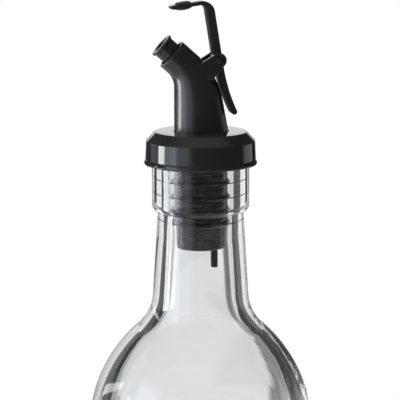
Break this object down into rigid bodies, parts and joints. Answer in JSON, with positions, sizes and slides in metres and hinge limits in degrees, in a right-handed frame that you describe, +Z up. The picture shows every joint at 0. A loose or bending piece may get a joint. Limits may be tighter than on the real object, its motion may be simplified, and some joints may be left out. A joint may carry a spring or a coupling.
{
  "type": "oil and vinegar bottle",
  "caption": "Clear round glass oil and vinegar bottle with a long shoulder, closed by a ribbed stopper with a black pouring spout and a flip lever that seals it.",
  "frame": {"origin": "middle of the base, on the surface that the bottle stands on", "axes": "+Z up along the bottle's axis; the spout points towards -X; the lever's hinge runs along Y"},
  "size_m": [0.0718, 0.0716, 0.2753],
  "materials": {
    "clear_glass": "clear colourless glass, faintly green where it is seen edge on",
    "gloss_black": "polished moulded black plastic",
    "soft_black": "softer satin black plastic"
  },
  "bodies": {
    "bottle": {"glass_bottle": "clear_glass", "pourer_cap": "gloss_black", "spout_tower": "gloss_black", "nozzle_tube": "gloss_black", "hinge_pin": "gloss_black", "stopper": "soft_black", "air_tube": "soft_black"},
    "lever": {"lever": "gloss_black", "seal_pad": "soft_black"}
  },
  "joints": [
    {"name": "lever_flip", "type": "hinge", "parent": "bottle", "child": "lever", "pos_m": [0.00505, 0, 0.25735], "axis": [0, -1, 0], "range_deg": [0, 40]}
  ]
}
